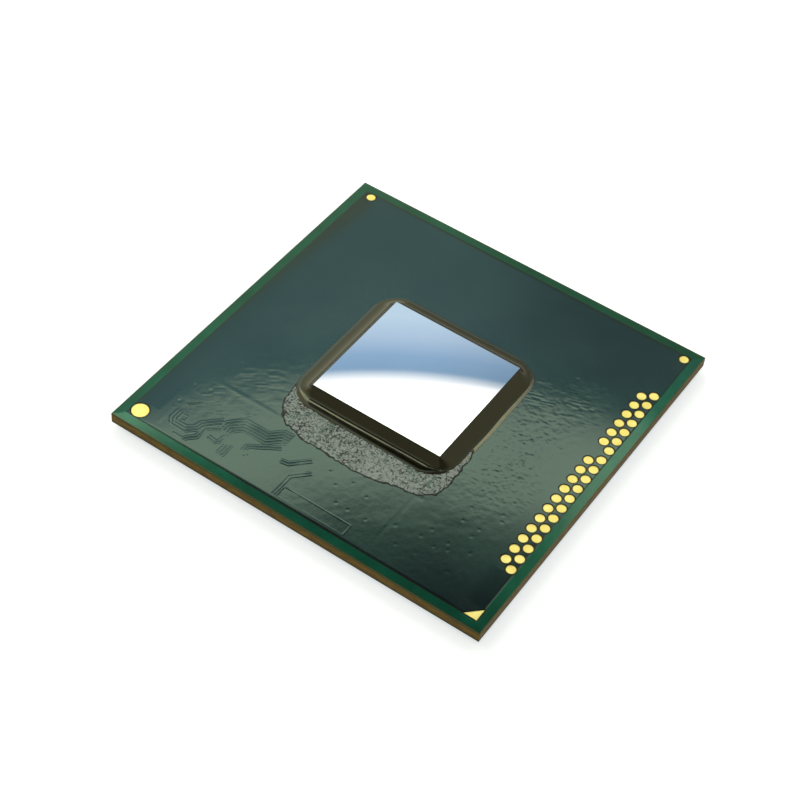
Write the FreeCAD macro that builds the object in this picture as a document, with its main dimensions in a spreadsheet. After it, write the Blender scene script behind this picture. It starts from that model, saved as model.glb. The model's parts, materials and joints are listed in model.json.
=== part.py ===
import FreeCAD, Part
import math
import os

import Sketcher

from FreeCAD import Vector

# A square ball-grid package with its silicon die bare on top. The origin is the middle of the
# package on the seating plane that the balls touch, +Z goes up to the die, and the pin-one mark
# stands in the corner at -X +Y. Everything is in millimetres.

doc = FreeCAD.newDocument("ball_grid_package")
sheet = doc.addObject("Spreadsheet::Sheet", "sizes")

driving_sizes = [
    ("package_length", 25.0, "substrate along X"),
    ("package_width", 25.0, "substrate along Y"),
    ("core_thickness", 0.400, "glass-cloth core"),
    ("core_copper", 0.018, "foil on each face of the core"),
    ("film_thickness", 0.030, "build-up film over the copper under it"),
    ("copper_thickness", 0.015, "plated copper of one build-up layer"),
    ("mask_thickness", 0.025, "solder mask over the face copper"),
    ("plane_setback", 0.60, "package edge to copper edge"),
    ("via_pitch", 1.6, "grid of the core's plated holes"),
    ("via_drill", 0.25, "drilled hole in the core"),
    ("via_plating", 0.025, "copper on the wall of the hole"),
    ("via_setback", 1.5, "package edge to the outermost via"),
    ("microvia_pitch", 2.4, "grid of the laser-drilled vias"),
    ("microvia_diameter", 0.08, "laser-drilled via"),
    ("ball_pitch", 0.80, "grid of the solder balls"),
    ("ball_diameter", 0.48, "soldered ball at its widest"),
    ("ball_opening", 0.38, "hole in the mask that a ball sits in"),
    ("ball_setback", 0.90, "package edge to the outermost ball"),
    ("corner_skip", 3, "steps from a corner of the grid with no ball"),
    ("corner_rows", 2, "diagonal rows in each corner group of balls"),
    ("die_length", 8.80, "silicon along X"),
    ("die_width", 8.50, "silicon along Y"),
    ("die_thickness", 0.62, "silicon, polished on its back"),
    ("wiring_thickness", 0.012, "metal and glass layers on the die's face"),
    ("bump_gap", 0.070, "mask to the die's face"),
    ("bump_pitch", 0.50, "grid of the flip-chip bumps"),
    ("bump_diameter", 0.10, "flip-chip bump"),
    ("bump_setback", 0.30, "die edge to the outermost bump"),
    ("foot_left", 0.95, "die edge to the fillet's foot at -X"),
    ("foot_right", 1.28, "die edge to the fillet's foot at +X"),
    ("foot_front", 1.25, "die edge to the fillet's foot at -Y"),
    ("foot_back", 1.18, "die edge to the fillet's foot at +Y"),
    ("foot_radius", 1.90, "corners of the fillet's foot"),
    ("lip_width", 0.10, "fillet's lip beyond the die edge"),
    ("lip_drop", 0.05, "top of the die down to the lip"),
    ("tongue_reach", 3.35, "die edge to the tip of the dispense tongue"),
    ("tongue_thickness", 0.045, "dispense tongue"),
    ("pad_diameter", 0.565, "gold test pad"),
    ("pad_height", 0.012, "nickel and gold on the face copper"),
    ("pad_pitch", 0.877, "test pads along a row"),
    ("pad_count", 19, "test pads in the outer row"),
    ("pad_shift", 0.075, "middle of the pad rows from the package's middle"),
    ("outer_row_setback", 0.925, "package edge to the outer row"),
    ("row_spacing", 0.60, "outer row to inner row"),
    ("target_diameter", 1.02, "round alignment mark"),
    ("target_setback", 1.16, "package edges to the round alignment mark"),
    ("dot_diameter", 0.56, "small alignment dots"),
    ("dot_setback", 0.95, "package edges to the small dots"),
    ("right_dot_setback", 1.14, "package edge at +X to the dot there"),
    ("mark_leg", 0.80, "legs of the pin-one triangle"),
    ("mark_setback", 0.62, "package edges to the triangle"),
]
for row, (alias, value, note) in enumerate(driving_sizes, start=1):
    sheet.set(f"A{row}", note)
    sheet.set(f"B{row}", str(value))
    sheet.setAlias(f"B{row}", alias)
doc.recompute()

inner_row_gap = 6  # the inner row has no pad in this place, counted from the -Y end
fit_slack = 1e-6  # keeps a grid that fits exactly from losing its last row


def size(alias):
    return float(sheet.get(alias))


def bind(thing, **expressions):
    """Binds properties of an object to cells; x, y and z stand for its place."""
    for name, expression in expressions.items():
        path = f"Placement.Base.{name}" if name in ("x", "y", "z") else name
        thing.setExpression(path, expression)
    return thing


def plate(name, length, width, height, z):
    """A plate centred on the package's middle."""
    thing = doc.addObject("Part::Box", name)
    return bind(thing, Length=length, Width=width, Height=height,
                x=f"-({length}) / 2", y=f"-({width}) / 2", z=z)


def foot_of(thing):
    """The level a plate starts at, as a plain number for expressions."""
    return f"{thing.Name}.Placement.Base.z / 1 mm"


def top_of(thing):
    """The level a plate ends at."""
    return f"({thing.Name}.Placement.Base.z + {thing.Name}.Height) / 1 mm"


def grid(pitch, setback, length, width):
    """Points of a centred square grid that keeps its distance from the edges."""
    rows = [int((side - 2 * setback) / pitch + fit_slack) + 1 for side in (length, width)]
    return [((i - (rows[0] - 1) / 2) * pitch, (j - (rows[1] - 1) / 2) * pitch)
            for i in range(rows[0]) for j in range(rows[1])]


def copies(name, shape, points, z):
    """One feature that holds a copy of a shape at each point."""
    thing = doc.addObject("Part::Feature", name)
    thing.Shape = Part.makeCompound([shape.translated(Vector(x, y, 0)) for x, y in points])
    bind(thing, z=z)
    return thing


def cut(name, base, tools):
    """The base with one or more other objects taken out of it."""
    tool = tools[0]
    if len(tools) > 1:
        tool = doc.addObject("Part::Compound", f"{name}_room")
        tool.Links = tools
    thing = doc.addObject("Part::Cut", name)
    thing.Base = base
    thing.Tool = tool
    return thing


nodes = {}


def keep(name, thing):
    """Gives a finished sub-part its label, which is also its file's name."""
    thing.Label = name
    nodes[name] = thing
    return thing


package_length, package_width = size("package_length"), size("package_width")
full = ("sizes.package_length", "sizes.package_width")
plane = tuple(f"{side} - 2 * sizes.plane_setback" for side in full)
via_points = grid(size("via_pitch"), size("via_setback"), package_length, package_width)
microvia_points = grid(size("microvia_pitch"), size("via_setback"), package_length, package_width)


# The balls: each fills its opening in the mask as a short neck, then bulges to a sphere that
# rests on the seating plane.
ball_radius = size("ball_diameter") / 2
neck_radius = size("ball_opening") / 2
neck_level = ball_radius + math.sqrt(ball_radius ** 2 - neck_radius ** 2)
land_level = neck_level + size("mask_thickness")
ball_sphere = Part.Arc(Vector(0, 0, 0), Vector(ball_radius, 0, ball_radius),
                       Vector(neck_radius, 0, neck_level)).toShape()
ball_neck = Part.makePolygon([Vector(neck_radius, 0, neck_level), Vector(neck_radius, 0, land_level),
                              Vector(0, 0, land_level), Vector(0, 0, 0)])
ball_profile = Part.Face(Part.Wire([ball_sphere] + ball_neck.Edges))
ball = ball_profile.revolve(Vector(0, 0, 0), Vector(0, 0, 1), 360)


def steps_from_corner(point):
    """Steps along both rows from the nearest corner of the ball grid."""
    far = [max(abs(p[axis]) for p in ball_grid) for axis in (0, 1)]
    return round(sum((far[axis] - abs(point[axis])) / size("ball_pitch") for axis in (0, 1)))


ball_grid = grid(size("ball_pitch"), size("ball_setback"), package_length, package_width)
ball_steps = {point: steps_from_corner(point) for point in ball_grid}
first_signal_step = size("corner_skip") + size("corner_rows")
ball_points = [p for p in ball_grid if ball_steps[p] >= size("corner_skip")]
corner_points = [p for p in ball_points if ball_steps[p] < first_signal_step]
signal_points = [p for p in ball_points if ball_steps[p] >= first_signal_step]
keep("corner_balls", copies("corner_balls", ball, corner_points, "0"))
keep("signal_balls", copies("signal_balls", ball, signal_points, "0"))


# The substrate, from the ball side up. Each film or mask is a full-size plate with a recess for
# the copper it was laid over, and each film holds its own laser-drilled vias.
def copper_sheet(name, height, z):
    return keep(name, plate(name, plane[0], plane[1], height, z))


def microvias(name, z):
    via = Part.makeCylinder(size("microvia_diameter") / 2, size("film_thickness"))
    return keep(name, copies(name, via, microvia_points, z))


def film(name, side, copper, copper_height, z):
    """A build-up film, with the copper it covers on its side nearest the core."""
    blank = plate(f"{name}_blank", full[0], full[1], f"sizes.film_thickness + {copper_height}", z)
    below = side == "top"
    blank_z = foot_of(blank)
    copper_z = blank_z if below else f"{blank_z} + sizes.film_thickness"
    via_z = f"{blank_z} + {copper_height}" if below else blank_z
    sheet_inside = copper_sheet(copper, copper_height, copper_z)
    vias_inside = microvias(name.replace("film", "microvias"), via_z)
    keep(name, cut(name, blank, [sheet_inside, vias_inside]))
    return blank


# The lower mask is laid over the face copper, and its openings let the balls through to it.
mask_height = "sizes.mask_thickness + sizes.copper_thickness"
seat_level = "sizes.ball_diameter / 2 + sqrt(sizes.ball_diameter ^ 2 - sizes.ball_opening ^ 2) / 2"
lower_mask = plate("solder_mask_bottom_blank", full[0], full[1], mask_height, seat_level)
lower_copper = copper_sheet("copper_bottom_face", "sizes.copper_thickness",
                            f"{foot_of(lower_mask)} + sizes.mask_thickness")
opening = Part.makeCylinder(neck_radius, size("mask_thickness"))
ball_openings = copies("ball_openings", opening, ball_points, seat_level)
keep("solder_mask_bottom", cut("solder_mask_bottom", lower_mask, [lower_copper, ball_openings]))

top = lower_mask
for layer, copper, height in (("film_bottom_outer", "copper_bottom_outer", "sizes.copper_thickness"),
                              ("film_bottom_middle", "copper_bottom_inner", "sizes.copper_thickness"),
                              ("film_bottom_inner", "core_copper_bottom", "sizes.core_copper")):
    top = film(layer, "bottom", copper, height, top_of(top))

# The core: each drilled hole has a plated copper barrel, and the barrel is filled with resin.
core_blank = plate("core_laminate_blank", full[0], full[1], "sizes.core_thickness", top_of(top))
core_level = foot_of(core_blank)
drill_radius = size("via_drill") / 2
drill = Part.makeCylinder(drill_radius, size("core_thickness"))
plug = Part.makeCylinder(drill_radius - size("via_plating"), size("core_thickness"))
drilled_holes = copies("drilled_holes", drill, via_points, core_level)
keep("core_laminate", cut("core_laminate", core_blank, [drilled_holes]))
keep("via_barrels", copies("via_barrels", drill.cut(plug), via_points, core_level))
keep("via_plugs", copies("via_plugs", plug, via_points, core_level))

top = core_blank
for layer, copper, height in (("film_top_inner", "core_copper_top", "sizes.core_copper"),
                              ("film_top_middle", "copper_top_inner", "sizes.copper_thickness"),
                              ("film_top_outer", "copper_top_outer", "sizes.copper_thickness")):
    top = film(layer, "top", copper, height, top_of(top))


# The upper mask covers the face copper, apart from the gold marks and the flip-chip bumps.
upper_mask = plate("solder_mask_top_blank", full[0], full[1], mask_height, top_of(top))
upper_copper = copper_sheet("copper_top_face", "sizes.copper_thickness", foot_of(upper_mask))
land = top_of(upper_copper)
mask_top = top_of(upper_mask)
half_length, half_width = package_length / 2, package_width / 2

outer_x = size("outer_row_setback") - half_length
inner_x = outer_x + size("row_spacing")
outer_count = round(size("pad_count"))
first_pad = size("pad_shift") - (outer_count - 1) / 2 * size("pad_pitch")
outer_row = [(outer_x, first_pad + i * size("pad_pitch")) for i in range(outer_count)]
inner_row = [(inner_x, first_pad + (i + 0.5) * size("pad_pitch"))
             for i in range(outer_count - 1) if i != inner_row_gap]
target = [(half_length - size("target_setback"), half_width - size("target_setback"))]
dot_y = size("dot_setback") - half_width
dots = [(size("dot_setback") - half_length, dot_y), (half_length - size("right_dot_setback"), dot_y)]


def gold_discs(name, diameter, points):
    """Gold-plated discs on the face copper, and the openings that show them."""
    disc = Part.makeCylinder(size(diameter) / 2, size("pad_height"))
    hole = Part.makeCylinder(size(diameter) / 2, size("mask_thickness"))
    keep(name, copies(name, disc, points, land))
    return copies(f"{name}_openings", hole, points, land)


openings = [gold_discs("test_pads_outer_row", "pad_diameter", outer_row),
            gold_discs("test_pads_inner_row", "pad_diameter", inner_row),
            gold_discs("alignment_target", "target_diameter", target),
            gold_discs("alignment_dots", "dot_diameter", dots)]


# The pin-one mark is a right-angled triangle with its square corner towards the package's corner.
def plane_of(body, role):
    return next(f for f in body.Origin.OriginFeatures if f.Role == role)


def new_sketch(body, name, level):
    """A sketch parallel to the body's XY plane, at a level bound to the sheet."""
    drawing = body.newObject("Sketcher::SketchObject", name)
    drawing.AttachmentSupport = [(plane_of(body, "XY_Plane"), "")]
    drawing.MapMode = "FlatFace"
    drawing.setExpression("AttachmentOffset.Base.z", level)
    return drawing


def constrain(drawing, kind, *args, cell=None):
    """Adds a constraint, and binds its value to an expression where one is given."""
    number = drawing.addConstraint(Sketcher.Constraint(kind, *args))
    if cell:
        drawing.renameConstraint(number, f"{kind.lower()}_{number}")
        drawing.setExpression(f"Constraints[{number}]", cell)


def triangle_body(name, height):
    body = doc.addObject("PartDesign::Body", name)
    drawing = new_sketch(body, f"{name}_outline", "0")
    leg, setback = size("mark_leg"), size("mark_setback")
    corner = Vector(setback - half_length, half_width - setback, 0)
    ends = [corner, corner + Vector(leg, 0, 0), corner - Vector(0, leg, 0)]
    for i in range(3):
        drawing.addGeometry(Part.LineSegment(ends[i], ends[(i + 1) % 3]), False)
    for i in range(3):
        constrain(drawing, "Coincident", i, 2, (i + 1) % 3, 1)
    constrain(drawing, "Horizontal", 0)
    constrain(drawing, "Vertical", 2)
    constrain(drawing, "DistanceX", 0, 1, 0, 2, leg, cell="sizes.mark_leg")
    constrain(drawing, "DistanceY", 2, 1, 2, 2, leg, cell="sizes.mark_leg")
    constrain(drawing, "DistanceX", 0, 1, -1, 1, -corner.x,
              cell="sizes.package_length / 2 - sizes.mark_setback")
    constrain(drawing, "DistanceY", -1, 1, 0, 1, corner.y,
              cell="sizes.package_width / 2 - sizes.mark_setback")
    pad = body.newObject("PartDesign::Pad", f"{name}_pad")
    pad.Profile = drawing
    pad.setExpression("Length", height)
    return bind(body, z=land)


keep("pin_one_mark", triangle_body("pin_one_mark", "sizes.pad_height"))
openings.append(triangle_body("pin_one_opening", "sizes.mask_thickness"))

bump_height = size("mask_thickness") + size("bump_gap")
bump = Part.makeCylinder(size("bump_diameter") / 2, bump_height)
bump_points = grid(size("bump_pitch"), size("bump_setback"), size("die_length"), size("die_width"))
bumps = keep("flip_chip_bumps", copies("flip_chip_bumps", bump, bump_points, land))
keep("solder_mask_top", cut("solder_mask_top", upper_mask, [upper_copper, bumps] + openings))


# The die stands face down on its bumps: the wiring layers first, then the polished silicon.
die_sides = ("sizes.die_length", "sizes.die_width")
wiring = keep("die_wiring", plate("die_wiring", *die_sides, "sizes.wiring_thickness",
                                  f"{mask_top} + sizes.bump_gap"))
die = keep("silicon_die", plate("silicon_die", *die_sides, "sizes.die_thickness", top_of(wiring)))


# The underfill: it runs under the die between the bumps, and climbs its four sides as a fillet
# that is steeper towards the lip.
def rounded_outline(drawing, sides, radius):
    """A rounded rectangle whose four sides lie at their own distances from the origin."""
    right, back, left, front = [doc.sizes.evalExpression(side) for side in sides]
    arc_radius = doc.sizes.evalExpression(radius)
    x = (right - arc_radius, arc_radius - left)
    y = (back - arc_radius, arc_radius - front)
    lines = [((right, -front + arc_radius), (right, y[0])), ((x[0], back), (x[1], back)),
             ((-left, y[0]), (-left, y[1])), ((x[1], -front), (x[0], -front))]
    centres = [(x[0], y[0]), (x[1], y[0]), (x[1], y[1]), (x[0], y[1])]
    for i in range(4):
        drawing.addGeometry(Part.LineSegment(Vector(*lines[i][0], 0), Vector(*lines[i][1], 0)), False)
        circle = Part.Circle(Vector(*centres[i], 0), Vector(0, 0, 1), arc_radius)
        turn = math.pi / 2
        drawing.addGeometry(Part.ArcOfCircle(circle, i * turn, (i + 1) * turn), False)
    for i in range(4):
        line, arc, after = 2 * i, 2 * i + 1, (2 * i + 2) % 8
        constrain(drawing, "Tangent", line, 2, arc, 1)
        constrain(drawing, "Tangent", arc, 2, after, 1)
        constrain(drawing, "Vertical" if i % 2 == 0 else "Horizontal", line)
        if i:
            constrain(drawing, "Equal", 1, arc)
    constrain(drawing, "Radius", 1, arc_radius, cell=radius)
    constrain(drawing, "DistanceX", -1, 1, 0, 1, right, cell=sides[0])
    constrain(drawing, "DistanceY", -1, 1, 2, 1, back, cell=sides[1])
    constrain(drawing, "DistanceX", 4, 1, -1, 1, left, cell=sides[2])
    constrain(drawing, "DistanceY", 6, 1, -1, 1, front, cell=sides[3])


die_edges = [f"{side} / 2" for side in die_sides * 2]
feet = ["sizes.foot_right", "sizes.foot_back", "sizes.foot_left", "sizes.foot_front"]
lip_level = "sizes.bump_gap + sizes.wiring_thickness + sizes.die_thickness - sizes.lip_drop"
waist_share, waist_rise = 0.42, 0.36  # where the fillet's slope changes, from lip to foot and up
waist = [f"{edge} + sizes.lip_width + ({foot} - sizes.lip_width) * {waist_share}"
         for edge, foot in zip(die_edges, feet)]
outlines = [([f"{edge} + {foot}" for edge, foot in zip(die_edges, feet)], "sizes.foot_radius", "0"),
            (waist, "sizes.foot_radius / 2", f"({lip_level}) * {waist_rise}"),
            ([f"{edge} + sizes.lip_width" for edge in die_edges], "sizes.lip_width * 2", lip_level)]

envelope = doc.addObject("PartDesign::Body", "underfill_envelope")
sections = []
for number, (sides, radius, level) in enumerate(outlines):
    drawing = new_sketch(envelope, f"fillet_outline_{number}", level)
    rounded_outline(drawing, sides, radius)
    sections.append(drawing)
loft = envelope.newObject("PartDesign::AdditiveLoft", "fillet_loft")
loft.Profile = sections[0]
loft.Sections = sections[1:]
loft.Ruled = True
bind(envelope, z=mask_top)
keep("underfill", cut("underfill", envelope, [wiring, die, bumps]))


# The dispense tongue: a thin, rough spill of the same resin on the +Y side, where the needle ran.
# It starts beside the fillet's -X foot, swings out round the back and ends at its +X foot. Its
# points are set by eye from the foot of the fillet and from shares of the tongue's reach.
tongue = doc.addObject("PartDesign::Body", "dispense_tongue_spill")
drawing = new_sketch(tongue, "tongue_outline", "0")
back = size("die_width") / 2
left = -size("die_length") / 2 - size("foot_left")
right = size("die_length") / 2 + size("foot_right")
reach = size("tongue_reach")
spill = [(left - 0.10, back - 1.45), (left - 0.42, back + 0.20 * reach), (left + 0.35, back + 0.78 * reach),
         (0.60 * left, back + 0.97 * reach), (0.0, back + reach), (0.58 * right, back + 0.88 * reach),
         (right - 0.70, back + 0.60 * reach), (right - 0.05, back - 0.15)]
shore = Part.BSplineCurve()
shore.interpolate([Vector(x, y, 0) for x, y in spill])
drawing.addGeometry(shore, False)
inland = [Vector(*spill[-1], 0), Vector(0, spill[-1][1], 0), Vector(0, spill[0][1], 0), Vector(*spill[0], 0)]
for start, end in zip(inland, inland[1:]):
    drawing.addGeometry(Part.LineSegment(start, end), False)
for i in range(4):
    constrain(drawing, "Coincident", i, 2, (i + 1) % 4, 1)
spill_pad = tongue.newObject("PartDesign::Pad", "tongue_pad")
spill_pad.Profile = drawing
spill_pad.setExpression("Length", "sizes.tongue_thickness")
bind(tongue, z=mask_top)
keep("dispense_tongue", cut("dispense_tongue", tongue, [envelope]))


doc.recompute()
for thing in doc.Objects:
    if {"Invalid", "Error"} & set(thing.State):
        raise RuntimeError(f"{thing.Name} did not build: {thing.State}")
for name, thing in nodes.items():
    if thing.Shape.isNull() or not thing.Shape.isValid() or not thing.Shape.Solids:
        raise RuntimeError(f"{name} has no valid solid")

os.makedirs("parts", exist_ok=True)
for name, thing in nodes.items():
    thing.Shape.exportStep(f"parts/{name}.step")
    print(f"{name}: {len(thing.Shape.Solids)} solid(s), {thing.Shape.Volume:.4f} mm3")
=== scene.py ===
import json
import math

import bpy
import numpy as np
from mathutils import Matrix, Vector

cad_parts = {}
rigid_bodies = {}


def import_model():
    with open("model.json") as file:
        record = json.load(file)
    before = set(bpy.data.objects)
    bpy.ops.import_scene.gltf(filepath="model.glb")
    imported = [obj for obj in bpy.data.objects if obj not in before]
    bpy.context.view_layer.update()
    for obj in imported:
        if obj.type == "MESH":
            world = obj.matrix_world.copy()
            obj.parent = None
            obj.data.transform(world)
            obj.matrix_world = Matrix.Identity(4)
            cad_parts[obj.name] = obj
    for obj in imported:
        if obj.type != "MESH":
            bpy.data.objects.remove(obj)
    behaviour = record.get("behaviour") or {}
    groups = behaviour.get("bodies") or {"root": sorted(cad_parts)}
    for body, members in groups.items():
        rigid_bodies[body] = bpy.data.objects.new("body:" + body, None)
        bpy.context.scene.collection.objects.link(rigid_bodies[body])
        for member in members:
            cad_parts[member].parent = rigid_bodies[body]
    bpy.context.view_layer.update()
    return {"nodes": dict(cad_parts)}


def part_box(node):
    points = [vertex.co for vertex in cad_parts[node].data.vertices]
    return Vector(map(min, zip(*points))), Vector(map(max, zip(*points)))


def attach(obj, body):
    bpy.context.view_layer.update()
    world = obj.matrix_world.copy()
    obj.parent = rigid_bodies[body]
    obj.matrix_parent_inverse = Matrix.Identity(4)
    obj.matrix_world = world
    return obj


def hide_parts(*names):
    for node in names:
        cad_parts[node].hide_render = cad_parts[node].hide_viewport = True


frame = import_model()

mm = 0.001
nodes = frame["nodes"]
maskLow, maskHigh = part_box("solder_mask_top")
dieLow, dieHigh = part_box("silicon_die")
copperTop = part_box("copper_top_face")[1].z
fillLow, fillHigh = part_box("underfill")
halfX, halfY = maskHigh.x, maskHigh.y
surface = maskHigh.z     # the top of the solder mask


# small helpers
def deselectAll():
    if bpy.context.object and bpy.context.object.mode != "OBJECT":
        objectMode()
    bpy.ops.object.select_all(action="DESELECT")


def makeActive(*things):
    deselectAll()
    for thing in things:
        thing.select_set(True)
    bpy.context.view_layer.objects.active = things[0]


def editMode(thing, kind="FACE"):
    makeActive(thing)
    bpy.ops.object.mode_set(mode="EDIT")
    bpy.ops.mesh.select_mode(type=kind)
    bpy.ops.mesh.select_all(action="DESELECT")


def objectMode():
    bpy.ops.object.mode_set(mode="OBJECT")


def selectAll():
    bpy.ops.mesh.select_all(action="SELECT")


def faceOutward():
    selectAll()
    bpy.ops.mesh.normals_make_consistent(inside=False)


# selects the faces whose centre and normal pass the test
def pickFaces(thing, test):
    objectMode()
    for face in thing.data.polygons:
        face.select = test(face.center, face.normal)
    bpy.ops.object.mode_set(mode="EDIT")


# selects the edges whose two ends pass the test
def pickEdges(thing, test):
    objectMode()
    points = thing.data.vertices
    for part in (*points, *thing.data.polygons):
        part.select = False
    for edge in thing.data.edges:
        edge.select = test(points[edge.vertices[0]].co, points[edge.vertices[1]].co)
    bpy.ops.object.mode_set(mode="EDIT")


def applyModifier(thing, kind, **settings):
    makeActive(thing)
    modifier = thing.modifiers.new(kind.lower(), kind)
    for name, value in settings.items():
        setattr(modifier, name, value)
    bpy.ops.object.modifier_apply(modifier=modifier.name)


def bakePlace(thing):
    makeActive(thing)
    bpy.ops.object.transform_apply(location=True, rotation=True, scale=True)


def smoothByAngle(thing, degrees):
    makeActive(thing)
    bpy.ops.object.shade_smooth_by_angle(angle=math.radians(degrees))


def smoothAll(thing):
    makeActive(thing)
    bpy.ops.object.shade_smooth()


# a mesh's points, as rows of x, y and z
def pointsOf(mesh):
    places = np.empty(len(mesh.vertices) * 3)
    mesh.vertices.foreach_get("co", places)
    return places.reshape(-1, 3)


def dress(thing, *materials):
    thing.data.materials.clear()
    for material in materials:
        thing.data.materials.append(material)


def dressNodes(material, *names):
    for name in names:
        dress(nodes[name], material)


# the faces that pass the test take the second material
def useSecond(thing, test):
    for face in thing.data.polygons:
        face.material_index = 1 if test(face.center, face.normal) else 0


def finishPiece(thing, name, materials, slot, *replaced):
    thing.name = name
    thing.data.name = name
    dress(thing, *materials)
    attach(thing, "root")
    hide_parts(*replaced)
    print("made", name, len(thing.data.polygons), "faces")
    return thing


# 0 below low, 1 above high, smooth between
def fade(value, low, high):
    share = np.clip((value - low) / (high - low), 0.0, 1.0)
    return share * share * (3.0 - 2.0 * share)


# smooth random hills between -1 and 1, cell wide
def softNoise(x, y, cell, seed):
    table = np.random.default_rng(seed).uniform(-1.0, 1.0, (512, 512))
    u, v = x / cell + 137.3, y / cell + 211.7
    i, j = np.floor(u).astype(int), np.floor(v).astype(int)
    fu, fv = u - i, v - j
    fu, fv = fu ** 3 * (fu * (fu * 6 - 15) + 10), fv ** 3 * (fv * (fv * 6 - 15) + 10)
    corner = [table[(i + a) % 512, (j + b) % 512] for a in (0, 1) for b in (0, 1)]
    low = corner[0] * (1 - fv) + corner[1] * fv
    high = corner[2] * (1 - fv) + corner[3] * fv
    return low * (1 - fu) + high * fu


# a material, its tree and shader, and places on the piece
def startMaterial(name):
    material = bpy.data.materials.new(name)
    material.use_nodes = True
    tree = material.node_tree
    place = node(tree, "TexCoord").outputs["Object"]
    return material, tree, tree.nodes["Principled BSDF"], place


# adds a node, sets its properties, and links or sets its inputs by name
def node(tree, kind, inputs=None, **settings):
    made = tree.nodes.new("ShaderNode" + kind)
    for name, value in settings.items():
        setattr(made, name, value)
    feedAll(tree, made, inputs or {})
    return made


def feed(tree, target, name, value):
    socket = target.inputs[name]
    if isinstance(value, bpy.types.NodeSocket):
        tree.links.new(value, socket)
    else:
        socket.default_value = value


def feedAll(tree, target, inputs):
    for name, value in inputs.items():
        feed(tree, target, name, value)


# colour ramp from (place, colour) pairs
def ramp(tree, source, *stops):
    made = node(tree, "ValToRGB", {"Fac": source})
    elements = made.color_ramp.elements
    while len(elements) < len(stops):
        elements.new(0.5)
    for element, (place, colour) in zip(elements, stops):
        element.position = place
        element.color = (*colour, 1.0)
    return made.outputs["Color"]


def greyRamp(tree, source, *stops):
    return ramp(tree, source, *[(place, (level,) * 3) for place, level in stops])


def math2(tree, operation, a, b=0.0):
    made = node(tree, "Math", operation=operation)
    feed(tree, made, 0, a)
    feed(tree, made, 1, b)
    return made.outputs[0]


def mixColour(tree, share, a, b, blend="MIX"):
    made = node(tree, "Mix", data_type="RGBA", blend_type=blend)
    feed(tree, made, 0, share)
    feed(tree, made, 6, a)
    feed(tree, made, 7, b)
    return made.outputs[2]


def noiseValue(tree, place, scale, detail=2.0, roughness=0.5):
    made = node(tree, "TexNoise",
                {"Vector": place, "Scale": scale, "Detail": detail, "Roughness": roughness})
    return made.outputs["Fac"]


# a bump on a shader, its depth in mm
def addBump(tree, shader, height, strength, depth):
    bump = node(tree, "Bump", {"Height": height, "Strength": strength, "Distance": depth * mm})
    feed(tree, shader, "Normal", bump.outputs[0])


# camera: a long lens, looking down across the pin-one corner
cameraPlan = dict(lens=84.4, place=(-36.37, 64.07, 80.84), aim=(0.076, 1.597, 0.0), roll=5.70)
cameraData = bpy.data.cameras.new("camera")
cameraData.lens = cameraPlan["lens"]
cameraData.sensor_width = 36.0
cameraData.clip_start, cameraData.clip_end = 0.005, 20.0
camera = bpy.data.objects.new("camera", cameraData)
bpy.context.scene.collection.objects.link(camera)
lift = Vector((0, 0, surface))
eye = Vector(cameraPlan["place"]) * mm + lift
aim = Vector(cameraPlan["aim"]) * mm + lift
turn = (aim - eye).to_track_quat("-Z", "Y").to_matrix().to_4x4()
roll = Matrix.Rotation(math.radians(cameraPlan["roll"]), 4, "Z")
camera.matrix_world = Matrix.Translation(eye) @ turn @ roll
bpy.context.scene.camera = camera
print("camera set")


# studio: a lit white table and a dim sky with one strip of bright light
studio = dict(
    tableSize=3.0,
    tableGlow=0.63,
    axis=(0.1847, -0.3522, 0.9175),    # the strip is a ring round this direction
    # each band: cosine of the angle from the axis, then red, green and blue
    bands=[(0.9000, 1.20, 1.22, 0.98), (0.9120, 1.10, 1.50, 1.60), (0.9250, 1.12, 1.58, 1.72),
           (0.9335, 1.28, 1.62, 1.86), (0.9375, 1.05, 1.38, 1.70), (0.9410, 0.66, 1.02, 1.42),
           (0.9434, 0.58, 0.93, 1.28), (0.9451, 2.45, 2.50, 2.45), (0.9480, 4.30, 4.50, 3.70),
           (0.9605, 4.30, 4.50, 3.70),
           (0.9640, 2.40, 2.50, 2.10), (0.9680, 0.55, 0.58, 0.60), (0.9740, 0.26, 0.29, 0.36),
           (0.9800, 0.18, 0.20, 0.26)],
    stripStart=6,                      # the band where the strip starts
    side=(0.90, 0.44, 0.0),            # outside the strip, the sky is dimmer away from this side
    sideFrom=-0.065, sideTo=0.045, sideShade=0.52,
    far=(0.44, -0.90, 0.0),            # the way the camera looks; the sky is dimmer behind it
    farFrom=-0.25, farTo=0.30, nearShade=0.34,
    stripFrom=0.30, stripTo=0.46, stripRest=0.07,      # and there the strip fades out
    brightest=4.5,
)


# how far a direction points along an axis, from -1 to 1
def alongAxis(tree, direction, axis):
    made = node(tree, "VectorMath", {0: direction, 1: axis}, operation="DOT_PRODUCT")
    return made.outputs["Value"]


# a value spread from least to 1 while the source goes from low to high
def spread(tree, source, low, high, least=0.0, kind="SMOOTHSTEP"):
    inputs = {"Value": source, "From Min": low, "From Max": high, "To Min": least}
    return node(tree, "MapRange", inputs, interpolation_type=kind).outputs[0]


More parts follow.
